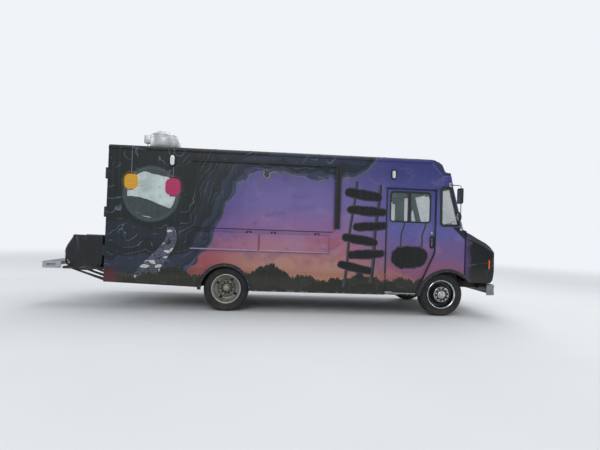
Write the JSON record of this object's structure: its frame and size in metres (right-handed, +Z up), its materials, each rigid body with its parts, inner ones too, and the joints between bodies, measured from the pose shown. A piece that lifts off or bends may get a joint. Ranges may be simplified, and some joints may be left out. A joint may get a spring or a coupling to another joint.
{
  "type": "food truck",
  "caption": "Walk-in step van food truck with a serving hatch and fold-down shelves on its kerb side, a rear rack with a covered generator and a roof fan.",
  "frame": {"origin": "on the ground at the middle of the overall box", "axes": "+X forwards, +Y to the driver's side, +Z up"},
  "size_m": [8.228, 2.98, 3.431],
  "materials": {
    "wrap_paint": "satin printed wrap over painted panels",
    "roof_paint": "satin dark roof cap",
    "nose_paint": "satin black moulded nose",
    "black_trim": "black moulded trim",
    "chassis_paint": "black chassis paint, dusty",
    "cast_steel": "oily cast iron and steel",
    "tyre": "road tyre",
    "chrome": "polished chrome and steel",
    "wheel_paint": "aged silver wheel paint",
    "aluminium": "brushed aluminium",
    "glass": "lightly tinted glass",
    "lens_clear": "clear lamp lens",
    "lens_amber": "amber lens",
    "lens_red": "red lens",
    "floor_plate": "chequered floor plate",
    "fan_metal": "dull spun aluminium",
    "cab_trim": "grey moulded cab trim",
    "seat_vinyl": "pale grey seat vinyl",
    "cover_cloth": "black tied cover cloth"
  },
  "bodies": {
    "truck_body": {"chassis_frame": "chassis_paint", "front_axle": "chassis_paint", "rear_axle": "chassis_paint", "leaf_springs": "chassis_paint", "drive_shaft": "cast_steel", "engine_block": "cast_steel", "fuel_tank": "aluminium", "exhaust": "cast_steel", "radiator": "chassis_paint", "floor": "floor_plate", "front_wheel_houses": "chassis_paint", "wall_right": "wrap_paint", "wall_left": "wrap_paint", "wall_rear": "wrap_paint", "rear_door_right": "wrap_paint", "roof": "roof_paint", "cab_side_right": "wrap_paint", "cab_side_left": "wrap_paint", "cab_front": "wrap_paint", "cab_glass": "glass", "nose_shell": "nose_paint", "grille": "black_trim", "headlamps": "lens_clear", "marker_lamps": "lens_amber", "tail_lamps": "lens_red", "oval_lamps": "lens_clear", "wheel_arch_trims": "black_trim", "front_bumper": "aluminium", "rear_rack": "chassis_paint", "rack_plank": "aluminium", "covered_generator": "cover_cloth", "hatch_fittings": "black_trim", "rear_hinge_blocks": "black_trim", "mirrors": "chrome", "roof_fan": "fan_metal", "driver_seat": "seat_vinyl", "dashboard": "cab_trim", "engine_cover": "cab_trim", "door_tracks": "aluminium"},
    "serving_hatch": {"serving_hatch": "wrap_paint"},
    "shelf_rear": {"shelf_rear": "wrap_paint"},
    "shelf_front": {"shelf_front": "wrap_paint"},
    "cab_door_right": {"cab_door_right": "wrap_paint", "door_glass_right": "glass"},
    "cab_door_left": {"cab_door_left": "wrap_paint", "door_glass_left": "glass"},
    "rear_door_left": {"rear_door_left": "wrap_paint"},
    "hood_lid": {"hood_lid": "nose_paint"},
    "knuckle_left": {"knuckle_left": "chassis_paint"},
    "knuckle_right": {"knuckle_right": "chassis_paint"},
    "tie_rod": {"tie_rod": "chassis_paint"},
    "steering_wheel": {"steering_wheel": "black_trim"},
    "front_wheel_left": {"front_tyre_left": "tyre", "front_rim_left": "chrome"},
    "front_wheel_right": {"front_tyre_right": "tyre", "front_rim_right": "chrome"},
    "rear_wheel_left": {"rear_tyres_left": "tyre", "rear_rim_left": "wheel_paint"},
    "rear_wheel_right": {"rear_tyres_right": "tyre", "rear_rim_right": "wheel_paint"}
  },
  "joints": [
    {"name": "steer_left", "type": "hinge", "parent": "truck_body", "child": "knuckle_left", "pos_m": [3.094, 0.845, 0.405], "axis": [0, 0, 1], "range_deg": [-35, 35]},
    {"name": "steer_right", "type": "hinge", "parent": "truck_body", "child": "knuckle_right", "pos_m": [3.094, -0.845, 0.405], "axis": [0, 0, 1], "range_deg": [-35, 35]},
    {"name": "tie_rod_pivot", "type": "hinge", "parent": "knuckle_left", "child": "tie_rod", "pos_m": [2.904, 0.845, 0.365], "axis": [0, 0, 1], "range_deg": [-35, 35]},
    {"name": "steering_wheel_turn", "type": "hinge", "parent": "truck_body", "child": "steering_wheel", "pos_m": [3.054, 0.61, 1.44], "axis": [-0.848, 0, 0.5299], "range_deg": [-490, 490]},
    {"name": "front_wheel_spin_left", "type": "hinge", "parent": "knuckle_left", "child": "front_wheel_left", "pos_m": [3.094, 0.9995, 0.405], "axis": [0, 1, 0], "continuous": true},
    {"name": "front_wheel_spin_right", "type": "hinge", "parent": "knuckle_right", "child": "front_wheel_right", "pos_m": [3.094, -0.9995, 0.405], "axis": [0, 1, 0], "continuous": true},
    {"name": "rear_wheel_spin_left", "type": "hinge", "parent": "truck_body", "child": "rear_wheel_left", "pos_m": [-0.894, 0.9, 0.405], "axis": [0, 1, 0], "continuous": true},
    {"name": "rear_wheel_spin_right", "type": "hinge", "parent": "truck_body", "child": "rear_wheel_right", "pos_m": [-0.894, -0.9, 0.405], "axis": [0, 1, 0], "continuous": true},
    {"name": "hatch_lift", "type": "hinge", "parent": "truck_body", "child": "serving_hatch", "pos_m": [-0.264, -1.192, 2.669], "axis": [-1, 0, 0], "range_deg": [0, 90]},
    {"name": "shelf_rear_fold", "type": "hinge", "parent": "truck_body", "child": "shelf_rear", "pos_m": [-0.952, -1.186, 1.442], "axis": [-1, 0, 0], "range_deg": [0, 90]},
    {"name": "shelf_front_fold", "type": "hinge", "parent": "truck_body", "child": "shelf_front", "pos_m": [0.309, -1.186, 1.442], "axis": [-1, 0, 0], "range_deg": [0, 90]},
    {"name": "cab_door_slide_right", "type": "slide", "parent": "truck_body", "child": "cab_door_right", "axis": [-1, 0, 0], "range_m": [0, 0.7]},
    {"name": "cab_door_slide_left", "type": "slide", "parent": "truck_body", "child": "cab_door_left", "axis": [-1, 0, 0], "range_m": [0, 0.7]},
    {"name": "rear_door_swing", "type": "hinge", "parent": "truck_body", "child": "rear_door_left", "pos_m": [-3.057, 0.88, 1.7], "axis": [0, 0, -1], "range_deg": [0, 180]},
    {"name": "hood_lift", "type": "hinge", "parent": "truck_body", "child": "hood_lid", "pos_m": [3.561, 0, 1.602], "axis": [0, -1, 0], "range_deg": [0, 55]}
  ],
  "couplings": [
    {"joint": "steer_right", "follows": "steer_left", "ratio": 1},
    {"joint": "tie_rod_pivot", "follows": "steer_left", "ratio": -1},
    {"joint": "steering_wheel_turn", "follows": "steer_left", "ratio": 14}
  ]
}
